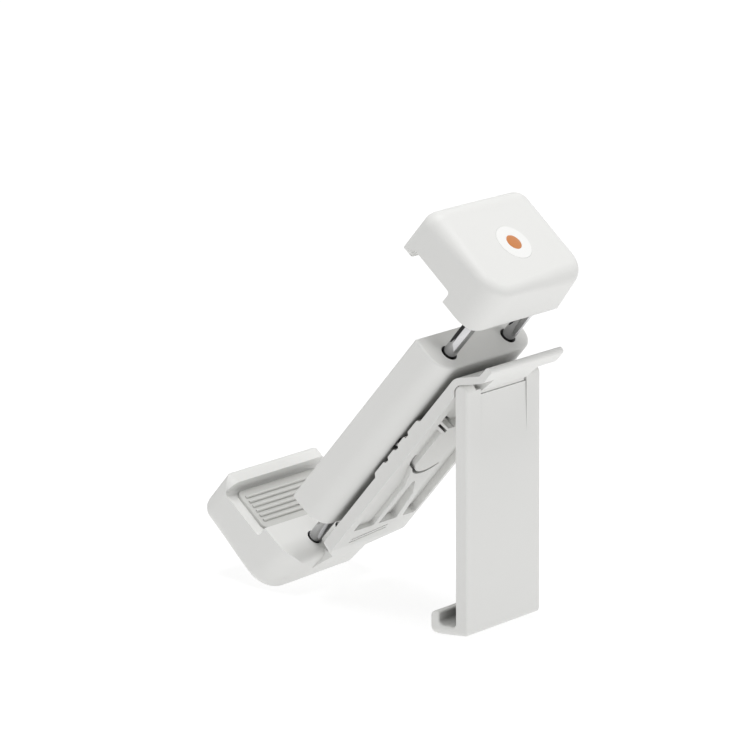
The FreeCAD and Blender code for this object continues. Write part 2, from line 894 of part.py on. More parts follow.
def leg_outline():
    """Side profile of the kickstand about its pin: head, blade and the hooked foot."""
    back = -leg_back_reach
    front = leg_front_reach
    sole_heel = -leg_length
    sole_toe = -leg_length - foot_slope
    toe = back + foot_depth
    lip_top = sole_toe + foot_lip_height
    cavity = -leg_length + foot_floor
    outline = [
        (back, leg_head),
        (front, leg_head),
        (front, cavity),
        (toe - foot_lip_thickness, cavity),
        (toe - foot_lip_thickness, lip_top),
        (toe, lip_top),
        (toe, sole_toe),
        (back, sole_heel),
    ]
    radii = [
        leg_head_radius,
        leg_head_radius,
        foot_cavity_radius,
        foot_cavity_radius,
        foot_lip_inner_radius,
        foot_lip_outer_radius,
        foot_toe_radius,
        foot_heel_radius,
    ]
    return outline, radii


def fork_cut():
    """Room in the leg's head for the plate's knuckle and tab, with a thin skin left behind it."""
    room = knuckle_radius + knuckle_play
    high = leg_head + past
    left = -fork_half
    width = fork_half * 2
    shape = Part.makeCylinder(room, width, Vector(left, 0, 0), Vector(1, 0, 0))
    shape = shape.fuse(block((left, -left), (0, foot_depth), (-room, high)))
    shape = shape.fuse(block((left, -left), (-room, past), (0, high)))
    shape = shape.fuse(block((left, -left), (-foot_depth, past), (skin_top, high)))
    notch_range = (left - fork_notch_width, left + past)
    depth_range = (-foot_depth, -leg_back_reach + fork_notch_depth)
    return shape.fuse(block(notch_range, depth_range, (leg_head - fork_notch_drop, high)))


def kickstand():
    """Folding leg with a hooked foot, a forked head for the hinge and a ramped relief."""
    outline, radii = leg_outline()
    shape = side_prism(outline, radii, leg_width)
    half = leg_width / 2
    low = -leg_length - foot_slope
    corner = leg_bottom_radius
    face = [(-half, low), (half, low), (half, leg_head), (-half, leg_head)]
    shape = shape.common(back_prism(face, [corner, corner, 0, 0], -foot_depth, foot_depth))
    long_edges = []
    for edge in edges_along(shape, Vector(0, 0, 1)):
        if edge.Length > leg_length / 2 and edge.CenterOfMass.y < 0:
            long_edges.append(edge)
    shape = shape.makeFillet(leg_edge_radius, long_edges)
    back = -leg_back_reach
    ramp = [
        (back - past, leg_head + past),
        (back + relief_depth, leg_head + past),
        (back + relief_depth, leg_head),
        (back, leg_head - relief_length),
        (back - past, leg_head - relief_length),
    ]
    shape = shape.cut(side_prism(ramp, [0] * len(ramp), relief_width))
    shape = shape.cut(fork_cut())
    bore_start = Vector(-half + pin_blind_wall, 0, 0)
    bore = Part.makeCylinder(pin_radius + pin_play, leg_width, bore_start, Vector(1, 0, 0))
    return leg_frame(shape.cut(bore))


def hinge_pin():
    """Steel pin pressed in the plate's knuckle, with the leg free to turn on it."""
    start = -leg_width / 2 + pin_blind_wall + pin_play
    length = leg_width / 2 - start - pin_play
    shape = Part.makeCylinder(pin_radius, length, at(-pivot_back, hinge_height, start), Vector(1, 0, 0))
    rims = [edge for edge in shape.Edges if isinstance(edge.Curve, Part.Circle)]
    return shape.makeChamfer(pin_chamfer, rims)


def leg_washer(sign):
    """Thin washer between the knuckle and a cheek of the leg."""
    face = knuckle_width / 2 + washer_play
    start = face if sign > 0 else -face - washer_thickness
    place = at(-pivot_back, hinge_height, start)
    axis = Vector(1, 0, 0)
    disc = Part.makeCylinder(pin_radius + washer_wall, washer_thickness, place, axis)
    return disc.cut(Part.makeCylinder(pin_radius + pin_play, washer_thickness, place, axis))


def holder_pieces():
    """Every piece by name, in the holder frame."""
    upper_half = upper_rod_spacing / 2
    lower_half = lower_rod_spacing / 2
    jaw = jaw_shape()
    pieces = {}
    lower_jaw = mirrored_low(with_rod_seats(jaw, lower_rod_spacing))
    pieces["back_frame"] = lower_jaw.fuse(back_plate()).removeSplitter()
    pieces["lower_jaw_pad"] = mirrored_low(jaw_pad())
    for side, x in both_sides(lower_half):
        pieces["lower_rod_" + side] = mirrored_low(rod(x))
        pieces["lower_rod_clip_" + side] = mirrored_low(rod_clip(x))
        pieces["lower_bush_" + side] = mirrored_low(bush(x))
    pieces["hinge_pin"] = hinge_pin()
    pieces["leg_washer_left"] = leg_washer(-1)
    pieces["leg_washer_right"] = leg_washer(1)
    pieces["kickstand"] = kickstand()
    pieces["housing"] = housing_shape()
    pieces["housing_cover"] = cover_solid(cover_play)
    pieces["rest_pad"] = rest_pad()
    pieces["friction_spring"] = friction_spring()
    for side, x in both_sides(detent_middle):
        pieces["detent_spring_" + side] = detent_spring(x)
    pieces["upper_jaw"] = with_rod_seats(jaw, upper_rod_spacing).cut(badge_seat())
    pieces["upper_jaw_pad"] = jaw_pad()
    pieces["badge_disc"] = badge_shape()
    for side, x in both_sides(upper_half):
        pieces["upper_rod_" + side] = rod(x)
        pieces["upper_rod_clip_" + side] = rod_clip(x)
        pieces["upper_bush_" + side] = bush(x)
    return pieces


def foot_toe_centre():
    """Centre of the rounding under the toe of the foot, in the holder frame."""
    outline, radii = leg_outline()
    toe = outline[6]
    heel = outline[7]
    slope = math.atan2(heel[1] - toe[1], toe[0] - heel[0])
    half_angle = (math.pi / 2 - slope) / 2
    reach = foot_toe_radius / math.tan(half_angle)
    point = Vector(0, toe[0] - foot_toe_radius, toe[1] + reach)
    turned = FreeCAD.Rotation(Vector(1, 0, 0), -leg_open_angle).multVec(point)
    return turned + at(-pivot_back, hinge_height)


def lean_angle():
    """Lean in degrees at which the lower jaw's back edge and the foot's toe are level."""
    draft = math.atan(jaw_back_slope)
    inward = jaw_back_radius / math.cos(draft) - jaw_back_radius * math.tan(draft)
    jaw_edge = at(-jaw_top_back + inward, grip_opening - jaw_top + jaw_back_radius)
    toe = foot_toe_centre()
    across = jaw_edge.y - toe.y
    along = jaw_edge.z - toe.z
    level = (jaw_back_radius - foot_toe_radius) / math.hypot(across, along)
    return math.degrees(math.asin(level) - math.atan2(along, across))


def placed(shape, lean, shift):
    """Copy of a holder shape in the finished frame."""
    moved = shape.copy()
    moved.rotate(Vector(0, 0, 0), Vector(1, 0, 0), lean)
    moved.translate(shift)
    return moved


def finished_frame(pieces):
    """Lean and shift that stand the holder on the ground over its own middle."""
    lean = lean_angle()
    turned = [placed(shape, lean, Vector(0, 0, 0)) for shape in pieces.values()]
    limits = Part.makeCompound(turned).optimalBoundingBox(False)
    shift = Vector(
        -(limits.XMin + limits.XMax) / 2,
        -(limits.YMin + limits.YMax) / 2,
        -limits.ZMin,
    )
    return lean, shift


def main():
    """Write one STEP file for each piece."""
    os.makedirs("parts", exist_ok=True)
    pieces = holder_pieces()
    lean, shift = finished_frame(pieces)
    for name, shape in pieces.items():
        solid = placed(shape, lean, shift)
        solid.exportStep(os.path.join("parts", name + ".step"))
        print(name, "volume", round(solid.Volume, 2), "solids", len(solid.Solids), "valid", solid.isValid())
    print("lean", round(lean, 3), "shift", tuple(round(value, 3) for value in shift))


if __name__ == "__main__":
    main()
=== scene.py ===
"""Desk phone holder: the finishes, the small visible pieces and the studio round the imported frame.

Sizes are in millimetres in the classes below and in metres once they reach a mesh. Places are
given in the holder's own frame: x across it, y towards the open side of the clamp with the
bearing face of the rest pad at 0, z along the clamp with the bearing face of the lower jaw's pad
at 0. The frame's slide axis and mounts say how that frame stands on the floor.
"""
from __future__ import annotations

import json
import logging
import math
from dataclasses import dataclass
from enum import Enum

import bmesh
import bpy
from mathutils import Matrix, Vector

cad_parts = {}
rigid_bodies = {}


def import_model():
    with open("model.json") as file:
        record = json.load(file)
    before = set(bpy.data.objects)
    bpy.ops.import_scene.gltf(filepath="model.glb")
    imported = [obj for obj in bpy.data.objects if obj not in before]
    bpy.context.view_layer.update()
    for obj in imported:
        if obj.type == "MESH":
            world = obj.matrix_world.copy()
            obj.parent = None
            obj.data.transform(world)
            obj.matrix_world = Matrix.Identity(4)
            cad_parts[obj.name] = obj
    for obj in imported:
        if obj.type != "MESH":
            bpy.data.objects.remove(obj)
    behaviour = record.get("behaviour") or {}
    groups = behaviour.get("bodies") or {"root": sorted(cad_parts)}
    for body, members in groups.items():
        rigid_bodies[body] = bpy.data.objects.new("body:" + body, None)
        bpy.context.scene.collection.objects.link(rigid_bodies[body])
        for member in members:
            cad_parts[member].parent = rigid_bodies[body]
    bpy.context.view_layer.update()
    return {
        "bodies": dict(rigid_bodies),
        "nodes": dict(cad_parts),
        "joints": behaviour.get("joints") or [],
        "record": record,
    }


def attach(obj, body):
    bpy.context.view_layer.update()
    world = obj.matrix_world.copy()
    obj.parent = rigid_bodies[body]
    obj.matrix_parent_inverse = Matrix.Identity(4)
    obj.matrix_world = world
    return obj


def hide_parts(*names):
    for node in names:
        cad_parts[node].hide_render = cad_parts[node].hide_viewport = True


LOG = logging.getLogger("phone_holder")
MM = 0.001
WHITE = (1.0, 1.0, 1.0, 1.0)
SHARP_ANGLE = math.radians(35)
RIM_STEPS = 4
Feeds = dict[str | int, object]
Outline = list[tuple[float, float]]


class Wiring:
    """Adds the nodes of one tree, with their settings and what feeds them."""

    def __init__(self, tree: bpy.types.NodeTree) -> None:
        """Keep the tree that the nodes go into.

        Args:
            tree: A shader or geometry node tree.
        """
        self.tree = tree

    def add(self, kind: str, feeds: Feeds | None = None, **settings: object) -> bpy.types.Node:
        """Add a node, set it and feed its inputs.

        Args:
            kind: The node type's own name.
            feeds: Input name or number, with a plain value or the output that feeds it.
            settings: Properties of the node, such as the operation of a Math node.

        Returns:
            The new node.
        """
        node = self.tree.nodes.new(kind)
        for name, value in settings.items():
            setattr(node, name, value)
        self.feed(node, feeds or {})
        return node

    def feed(self, node: bpy.types.Node, feeds: Feeds) -> None:
        """Feed the inputs of a node.

        Args:
            node: The node.
            feeds: Input name or number, with a plain value or the output that feeds it.
        """
        for key, value in feeds.items():
            socket = node.inputs[key]
            if isinstance(value, bpy.types.NodeSocket):
                self.tree.links.new(value, socket)
            else:
                socket.default_value = value

    def math(self, operation: str, *values: object) -> bpy.types.NodeSocket:
        """Add a Math node.

        Args:
            operation: What it does.
            values: Plain values or outputs for its inputs, in order.

        Returns:
            Its output.
        """
        return self.add("ShaderNodeMath", dict(enumerate(values)), operation=operation).outputs[0]

    def socket(self, name: str, kind: str, value: object = None, out: bool = False) -> None:
        """Add a named input or output to a group.

        Args:
            name: The socket's name.
            kind: The socket's type.
            value: Default value of an input.
            out: Whether it is an output.
        """
        made = self.tree.interface.new_socket(name, in_out="OUTPUT" if out else "INPUT", socket_type=kind)
        if value is not None:
            made.default_value = value


@dataclass(frozen=True)
class HolderFrame:
    """The holder's own frame inside the row's frame.

    Args:
        origin: Row place of the holder's origin, in metres.
        front: Row direction towards the open side of the clamp.
        up: Row direction along the clamp.
    """

    origin: Vector
    front: Vector
    up: Vector

    @classmethod
    def from_frame(cls, frame: dict) -> HolderFrame:
        """Read the holder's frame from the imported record.


        Returns:
            The holder's frame, from the slide's axis and the middle of the lower pad.
        """
        slide = next(joint for joint in frame["joints"] if joint["type"] == "slide")
        mounts = {mount["name"]: mount for mount in frame["record"]["mounts"]}
        up = Vector(slide["axis"]).normalized()
        front = up.cross(Vector((1, 0, 0))).normalized()
        rest = Vector(mounts["rest_face"]["pos_m"])
        pad = Vector(mounts["lower_pad_face"]["pos_m"])
        height = (pad - rest).dot(up)
        return cls(rest + up * height, front, up)

    @property
    def lean(self) -> float:
        """Angle in radians by which the clamp leans back from upright."""
        return math.atan2(-self.up.y, self.up.z)

    def place(self, x: float, y: float, z: float) -> Vector:
        """Row place of a holder point given in millimetres."""
        return self.origin + self.turn(x, y, z) * MM

    def turn(self, x: float, y: float, z: float) -> Vector:
        """Row direction of a holder direction."""
        return Vector((x, 0, 0)) + self.front * y + self.up * z

    def matrix(self) -> Matrix:
        """Find the way from the holder's frame to the row's frame.

        Returns:
            Matrix from holder millimetres to row metres.
        """
        across = Vector((1, 0, 0))
        turn = Matrix((across, self.front, self.up)).transposed()
        return Matrix.Translation(self.origin) @ turn.to_4x4() @ Matrix.Scale(MM, 4)


class SkinGroup:
    """Shader group for the skin of a piece: fine grain, slow mottling and a height for bump."""

    NAME = "moulded_skin"
    GRAIN_DETAIL = 3.0
    MOTTLE_DETAIL = 2.0

    @classmethod
    def get(cls) -> bpy.types.NodeTree:
        """Build the group once.

        Returns:
            The group, with Place, Base, Grain Size, Mottle Size, Mottle, Rough and Rough Spread
            inputs, and Color, Roughness and Height outputs.
        """
        found = bpy.data.node_groups.get(cls.NAME)
        if found:
            return found
        wiring = Wiring(bpy.data.node_groups.new(cls.NAME, "ShaderNodeTree"))
        wiring.socket("Place", "NodeSocketVector")
        wiring.socket("Base", "NodeSocketColor", WHITE)
        wiring.socket("Grain Size", "NodeSocketFloat", 5200.0)
        wiring.socket("Mottle Size", "NodeSocketFloat", 70.0)
        wiring.socket("Mottle", "NodeSocketFloat", 0.02)
        wiring.socket("Rough", "NodeSocketFloat", 0.5)
        wiring.socket("Rough Spread", "NodeSocketFloat", 0.05)
        wiring.socket("Color", "NodeSocketColor", out=True)
        wiring.socket("Roughness", "NodeSocketFloat", out=True)
        wiring.socket("Height", "NodeSocketFloat", out=True)
        inputs = wiring.add("NodeGroupInput").outputs
        grain = wiring.add(
            "ShaderNodeTexNoise",
            {"Vector": inputs["Place"], "Scale": inputs["Grain Size"], "Detail": cls.GRAIN_DETAIL},
        )
        cloud = wiring.add(
            "ShaderNodeTexNoise",
            {"Vector": inputs["Place"], "Scale": inputs["Mottle Size"], "Detail": cls.MOTTLE_DETAIL},
        )
        centred = wiring.math("SUBTRACT", cloud.outputs["Fac"], 0.5)
        swing = wiring.math("MULTIPLY_ADD", centred, inputs["Mottle"], 1.0)
        tint = wiring.add("ShaderNodeVectorMath", {0: inputs["Base"], "Scale": swing}, operation="SCALE")
        rough = wiring.math("MULTIPLY_ADD", centred, inputs["Rough Spread"], inputs["Rough"])
        wiring.add(
            "NodeGroupOutput",
            {"Color": tint.outputs[0], "Roughness": rough, "Height": grain.outputs["Fac"]},
        )
        return wiring.tree


class PaintedShadeGroup:
    """Shader group that paints shade into the colour where a surface lies close to another: painted shade
    in crevices, gaps and recesses.
    """

    NAMES = {False: "painted_crevice_shade", True: "own_painted_crevice_shade"}
    SAMPLES = 8

    @classmethod
    def get(cls, own: bool) -> bpy.types.NodeTree:
        """Build the painted-shade group once for all surfaces and once for a piece's own surfaces.

        Args:
            own: Whether only the piece's own surfaces count.

        Returns:
            The group, with Base, Reach, Depth and Falloff inputs and a Color output that carries the
            painted shade.
        """
        found = bpy.data.node_groups.get(cls.NAMES[own])
        if found:
            return found
        wiring = Wiring(bpy.data.node_groups.new(cls.NAMES[own], "ShaderNodeTree"))
        wiring.socket("Base", "NodeSocketColor", WHITE)
        wiring.socket("Reach", "NodeSocketFloat", 0.002)
        wiring.socket("Depth", "NodeSocketFloat", 0.5)
        wiring.socket("Falloff", "NodeSocketFloat", 1.5)
        wiring.socket("Color", "NodeSocketColor", out=True)
        inputs = wiring.add("NodeGroupInput").outputs
        # Ambient occlusion darkens the base colour where other surfaces are near: painted shade, not a real
        # tone of the plastic.
        nearness = wiring.add(
            "ShaderNodeAmbientOcclusion",
            {"Distance": inputs["Reach"]},
            samples=cls.SAMPLES,
            only_local=own,
        )
        closed = wiring.math("SUBTRACT", 1.0, nearness.outputs["AO"])
        weight = wiring.math("POWER", closed, inputs["Falloff"])
        loss = wiring.math("MULTIPLY", weight, inputs["Depth"])
        left = wiring.math("SUBTRACT", 1.0, loss)
        tone = wiring.add("ShaderNodeVectorMath", {0: inputs["Base"], "Scale": left}, operation="SCALE")
        wiring.add("NodeGroupOutput", {"Color": tone.outputs[0]})
        return wiring.tree


def new_material(name: str) -> tuple[bpy.types.Material, Wiring, bpy.types.Node]:
    """Empty material with one surface shader.

    Args:
        name: The material's name.

    Returns:
        The material, the wiring of its tree and its Principled BSDF node.
    """
    material = bpy.data.materials.new(name)
    material.use_nodes = True
    wiring = Wiring(material.node_tree)
    return material, wiring, material.node_tree.nodes["Principled BSDF"]


def grey(tone: float) -> tuple[float, float, float, float]:
    """Opaque grey of a given linear tone."""
    return tone, tone, tone, 1.0


@dataclass(frozen=True)
class Finish:
    """What a surface looks like, for the skin group, the painted shade and the surface shader.

    Args:
        colour: Linear base colour.
        roughness: Mean roughness.
        spread: How far the roughness swings over the surface.
        grain_size: Scale of the grain, in cells for each metre.
        grain_depth: Height of the grain in metres.
        mottle: Share by which the colour swings.
        mottle_size: Scale of the swing, in cells for each metre.
        stretch: How much longer the grain is along the clamp than across it.
        specular: Specular level.
        metallic: Metallic share.
        coat: Weight of a clear coat.
        crevice_shade: Share of the colour that painted shade takes away where the surface is most closed
            in.
        shade_reach: How near another surface has to be for the painted shade to darken the colour, in
            metres.
        shade_falloff: How fast the painted shade fades towards open surface.
        shade_own: Whether only the piece's own surfaces throw the painted shade.
    """

    colour: tuple[float, float, float]
    roughness: float = 0.5
    spread: float = 0.06
    grain_size: float = 5200.0
    grain_depth: float = 0.00001
    mottle: float = 0.02
    mottle_size: float = 70.0
    stretch: float = 1.0
    specular: float = 0.4
    metallic: float = 0.0
    coat: float = 0.0
    crevice_shade: float = 0.85
    shade_reach: float = 0.003
    shade_falloff: float = 3.0
    shade_own: bool = False

    def build(self, name: str, lean: float) -> bpy.types.Material:
        """Build the material.

        Args:
            name: The material's name.
            lean: Angle in radians by which the clamp leans back, for a grain along it.

        Returns:
            The material, with colour, roughness and bump from the skin group, and shade painted into the
            colour near other surfaces.
        """
        material, wiring, shader = new_material(name)
        place = wiring.add("ShaderNodeTexCoord").outputs["Object"]
        if self.stretch != 1.0:
            along = {"Vector": place, "Rotation": (lean, 0, 0), "Scale": (1, 1, self.stretch)}
            place = wiring.add("ShaderNodeMapping", along, vector_type="TEXTURE").outputs[0]
        skin_feeds = {
            "Place": place,
            "Base": (*self.colour, 1),
            "Grain Size": self.grain_size,
            "Mottle Size": self.mottle_size,
            "Mottle": self.mottle,
            "Rough": self.roughness,
            "Rough Spread": self.spread,
        }
        skin = wiring.add("ShaderNodeGroup", skin_feeds, node_tree=SkinGroup.get()).outputs
        bump = wiring.add("ShaderNodeBump", {"Distance": self.grain_depth, "Height": skin["Height"]})
        # Painted shade: the colour is darkened where other surfaces are near, standing in for shade in
        # crevices and gaps.
        painted_shade_feeds = {
            "Base": skin["Color"],
            "Reach": self.shade_reach,
            "Depth": self.crevice_shade,
            "Falloff": self.shade_falloff,
        }
        crevice_shade = wiring.add("ShaderNodeGroup", painted_shade_feeds, node_tree=PaintedShadeGroup.get(self.shade_own))
        shader_feeds = {
            "Base Color": crevice_shade.outputs["Color"],
            "Roughness": skin["Roughness"],
            "Normal": bump.outputs["Normal"],
            "Specular IOR Level": self.specular,
            "Metallic": self.metallic,
            "Coat Weight": self.coat,
        }
        wiring.feed(shader, shader_feeds)
        return material


# Every finish below paints shade into its colour near other surfaces, through the painted-shade settings of
# Finish.
FINISHES = {
    "moulded_white": Finish((0.80, 0.80, 0.783)),
    # The frame and the leg use the same white as moulded_white, copied only to change the painted shade: it
    # comes from the piece's own surfaces, and on the leg it reaches further and darker into the hook and
    # its gaps.
    "frame_white_own_painted_shade": Finish((0.80, 0.80, 0.783), shade_own=True),
    "leg_white_deep_painted_shade": Finish(
        (0.80, 0.80, 0.783),
        crevice_shade=0.92,
        shade_reach=0.009,
        shade_falloff=1.25,
        shade_own=True,
    ),
    "soft_pad": Finish((0.62, 0.62, 0.60), roughness=0.78, grain_depth=0.00002, mottle=0.05),
    "polished_steel": Finish(
        (0.74, 0.74, 0.75),
        roughness=0.08,
        spread=0.08,
        grain_size=9000.0,
        grain_depth=0.000002,
        mottle=0.08,
        mottle_size=1200.0,
        stretch=60.0,
        metallic=1.0,
        # Painted shade darkens the steel where it runs close to the plastic, such as the rods towards their
        # bores.
        crevice_shade=1.0,
        shade_reach=0.008,
        shade_falloff=0.8,
    ),
    "spring_steel": Finish(
        (0.42, 0.42, 0.42),
        roughness=0.3,
        spread=0.12,
        grain_size=9000.0,
        grain_depth=0.000004,
        mottle=0.1,
        mottle_size=900.0,
        stretch=20.0,
        metallic=1.0,
    ),
    "bush_plastic": Finish((0.05, 0.05, 0.055), roughness=0.45),
    "badge_white": Finish((0.90, 0.90, 0.885), roughness=0.28, grain_depth=0.000002, coat=0.3),
    "badge_orange": Finish(
        (0.58, 0.20, 0.045),
        roughness=0.35,
        grain_depth=0.000003,
        mottle=0.12,
        coat=0.3,
    ),
}
# Pieces whose white is a copy that paints shade only from their own surfaces.
OWN_PAINTED_SHADE_FINISH = {"kickstand": "leg_white_deep_painted_shade", "back_frame": "frame_white_own_painted_shade"}


class Dressing:
    """Holds one material for each finish and gives them to the solids and the pieces."""

    def __init__(self, frame: dict, holder: HolderFrame) -> None:
        """Keep the frame and build the materials.

        Args:
            holder: The holder's frame.
        """
        self.frame = frame
        self.materials = {name: finish.build(name, holder.lean) for name, finish in FINISHES.items()}

    def dress_solids(self) -> None:
        """Give each solid the material of its slot, or the copy of the white with its own painted shade
        where it has one.
        """
        finish_of = {part["node"]: part["material_slot"] for part in self.frame["record"]["subparts"]}
        finish_of.update(OWN_PAINTED_SHADE_FINISH)
        for name, solid in self.frame["nodes"].items():
            solid.data.materials.clear()
            solid.data.materials.append(self.materials[finish_of[name]])
            LOG.info("solid %s dressed as %s", name, finish_of[name])


def rounded_outline(width: float, depth: float, radius: float, steps: int) -> Outline:
    """Outline of a rounded rectangle round its own middle.

    Args:
        width: Size along the first direction.
        depth: Size along the second direction.
        radius: Corner radius.
        steps: Points in each corner.

    Returns:
        Points in anticlockwise order.
    """
    points = []
    for quarter, (across, along) in enumerate(((1, 1), (-1, 1), (-1, -1), (1, -1))):
        middle_x = across * (width / 2 - radius)
        middle_y = along * (depth / 2 - radius)
        for step in range(steps + 1):
            angle = math.pi / 2 * (quarter + step / steps)
            points.append((middle_x + radius * math.cos(angle), middle_y + radius * math.sin(angle)))
    return points


def soft_sheet(name: str, outline: Outline, low: float, high: float, edge: float) -> bpy.types.Mesh:
    """Flat moulded sheet whose upper rim is rounded.

    Args:
        name: Name of the mesh.
        outline: Outline in anticlockwise order.
        low: Height of the back face.
        high: Height of the bearing face.
        edge: Radius of the rounded rim.

    Returns:
        The closed mesh.
    """
    shape = bmesh.new()
    lower = [shape.verts.new((x, y, low)) for x, y in outline]
    face = shape.faces.new(lower)
    made = bmesh.ops.extrude_face_region(shape, geom=[face])
    top = [part for part in made["geom"] if isinstance(part, bmesh.types.BMVert)]
    for vert in top:
        vert.co.z = high
    rim = [side for side in shape.edges if all(vert in top for vert in side.verts)]
    bmesh.ops.bevel(shape, geom=rim, offset=edge, segments=RIM_STEPS, profile=0.5, affect="EDGES")
    bmesh.ops.recalc_face_normals(shape, faces=shape.faces)
    mesh = bpy.data.meshes.new(name)
    shape.to_mesh(mesh)
    shape.free()
    return mesh


class GripPattern(Enum):
    """What stands on the bearing face of a soft pad, with the name of its tree."""

    RIBS = "grip_ribs"
    PIPS = "grip_pips"


class GripTree:
    """Geometry node trees that set ribs or pips on a soft pad."""

    RIB_POINTS = 33
    RIB_SIDES = 16
    RIB_END_SHARE = 0.2
    PIP_SIDES = 12
    PIP_RINGS = 6

    @classmethod
    def get(cls, pattern: GripPattern) -> bpy.types.NodeTree:
        """Build the tree of a pattern once.

        Args:
            pattern: Which pattern.

        Returns:
            The tree, which takes the pad's sheet and adds the pattern to it.
        """
        found = bpy.data.node_groups.get(pattern.value)
        if found:
            return found
        wiring = Wiring(bpy.data.node_groups.new(pattern.value, "GeometryNodeTree"))
        wiring.socket("Geometry", "NodeSocketGeometry", out=True)
        wiring.socket("Geometry", "NodeSocketGeometry")
        wiring.socket("Finish", "NodeSocketMaterial")
        wiring.socket("Rise", "NodeSocketFloat", 0.3)
        wiring.socket("Half Width", "NodeSocketFloat", 0.3)
        wiring.socket("Pitch", "NodeSocketFloat", 1.2)
        wiring.socket("Rows", "NodeSocketInt", 7)
        inputs_node = wiring.add("NodeGroupInput")
        if pattern is GripPattern.RIBS:
            placed = cls.ribs(wiring, inputs_node)
        else:
            placed = cls.pips(wiring, inputs_node)
        joined = wiring.add("GeometryNodeJoinGeometry")
        wiring.tree.links.new(inputs_node.outputs["Geometry"], joined.inputs[0])
        wiring.tree.links.new(placed, joined.inputs[0])
        real = wiring.add("GeometryNodeRealizeInstances", {"Geometry": joined.outputs[0]})
        dressed = wiring.add(
            "GeometryNodeSetMaterial",
            {"Geometry": real.outputs[0], "Material": inputs_node.outputs["Finish"]},
        )
        wiring.add("NodeGroupOutput", {0: dressed.outputs[0]})
        return wiring.tree

    @classmethod
    def ribs(cls, wiring: Wiring, inputs_node: bpy.types.Node) -> bpy.types.NodeSocket:
        """Straight ribs with tapered ends, side by side along y.

        Args:
            wiring: Wiring of the tree.
            inputs_node: The group's inputs.

        Returns:
            Output with the ribs as instances.
        """
        wiring.socket("Length", "NodeSocketFloat", 22.0)
        inputs = inputs_node.outputs
        half = wiring.math("DIVIDE", inputs["Length"], 2.0)
        start = wiring.add("ShaderNodeCombineXYZ", {"X": wiring.math("MULTIPLY", half, -1.0)})
        end = wiring.add("ShaderNodeCombineXYZ", {"X": half})
        line = wiring.add(
            "GeometryNodeCurvePrimitiveLine",
            {"Start": start.outputs[0], "End": end.outputs[0]},
        )
        points = wiring.add(
            "GeometryNodeResampleCurve",
            {"Curve": line.outputs[0], "Count": cls.RIB_POINTS},
        )
        along = wiring.add("GeometryNodeSplineParameter").outputs["Length"]
        beyond = wiring.math("SUBTRACT", inputs["Length"], along)
        nearest = wiring.math("MINIMUM", along, beyond)
        share = wiring.math("MINIMUM", wiring.math("DIVIDE", nearest, inputs["Half Width"]), 1.0)
        slack = wiring.math("SUBTRACT", 1.0, share)
        round_end = wiring.math("SQRT", wiring.math("SUBTRACT", 1.0, wiring.math("POWER", slack, 2.0)))
        radius = wiring.math("MAXIMUM", round_end, cls.RIB_END_SHARE)
        tapered = wiring.add("GeometryNodeSetCurveRadius", {"Curve": points.outputs[0], "Radius": radius})
        circle = wiring.add(
            "GeometryNodeCurvePrimitiveCircle",
            {"Resolution": cls.RIB_SIDES, "Radius": 1.0},
        )
        size = wiring.add(
            "ShaderNodeCombineXYZ",
            {"X": inputs["Rise"], "Y": inputs["Half Width"], "Z": 1.0},
        )
        profile = wiring.add(
            "GeometryNodeTransform",
            {"Geometry": circle.outputs[0], "Scale": size.outputs[0]},
        )
        swept = wiring.add(
            "GeometryNodeCurveToMesh",
            {"Curve": tapered.outputs[0], "Profile Curve": profile.outputs[0], "Fill Caps": True},
        )
        step = wiring.add("ShaderNodeCombineXYZ", {"Y": inputs["Pitch"]})
        count = wiring.math("SUBTRACT", inputs["Rows"], 1.0)
        reach = wiring.math("MULTIPLY", wiring.math("MULTIPLY", count, inputs["Pitch"]), -0.5)
        first = wiring.add("ShaderNodeCombineXYZ", {"Y": reach})
        row = wiring.add(
            "GeometryNodeMeshLine",
            {"Count": inputs["Rows"], "Start Location": first.outputs[0], "Offset": step.outputs[0]},
        )
        placed = wiring.add(
            "GeometryNodeInstanceOnPoints",
            {"Points": row.outputs[0], "Instance": swept.outputs[0]},
        )
        return placed.outputs[0]

    @classmethod
    def pips(cls, wiring: Wiring, inputs_node: bpy.types.Node) -> bpy.types.NodeSocket:
        """Low round pips in two staggered grids.

        Args:
            wiring: Wiring of the tree.
            inputs_node: The group's inputs.

        Returns:
            Output with the pips as instances.
        """
        wiring.socket("Columns", "NodeSocketInt", 10)
        inputs = inputs_node.outputs
        ball = wiring.add(
            "GeometryNodeMeshUVSphere",
            {"Segments": cls.PIP_SIDES, "Rings": cls.PIP_RINGS, "Radius": 1.0},
        )
        size = wiring.add(
            "ShaderNodeCombineXYZ",
            {"X": inputs["Half Width"], "Y": inputs["Half Width"], "Z": inputs["Rise"]},
        )
        both = wiring.add("GeometryNodeJoinGeometry")
        for fewer in (0.0, 1.0):
            columns = wiring.math("SUBTRACT", inputs["Columns"], fewer)
            rows = wiring.math("SUBTRACT", inputs["Rows"], fewer)
            width = wiring.math("MULTIPLY", wiring.math("SUBTRACT", columns, 1.0), inputs["Pitch"])
            depth = wiring.math("MULTIPLY", wiring.math("SUBTRACT", rows, 1.0), inputs["Pitch"])
            grid = wiring.add(
                "GeometryNodeMeshGrid",
                {"Size X": width, "Size Y": depth, "Vertices X": columns, "Vertices Y": rows},
            )
            wiring.tree.links.new(grid.outputs[0], both.inputs[0])
        placed = wiring.add(
            "GeometryNodeInstanceOnPoints",
            {"Points": both.outputs[0], "Instance": ball.outputs[0], "Scale": size.outputs[0]},
        )
        return placed.outputs[0]


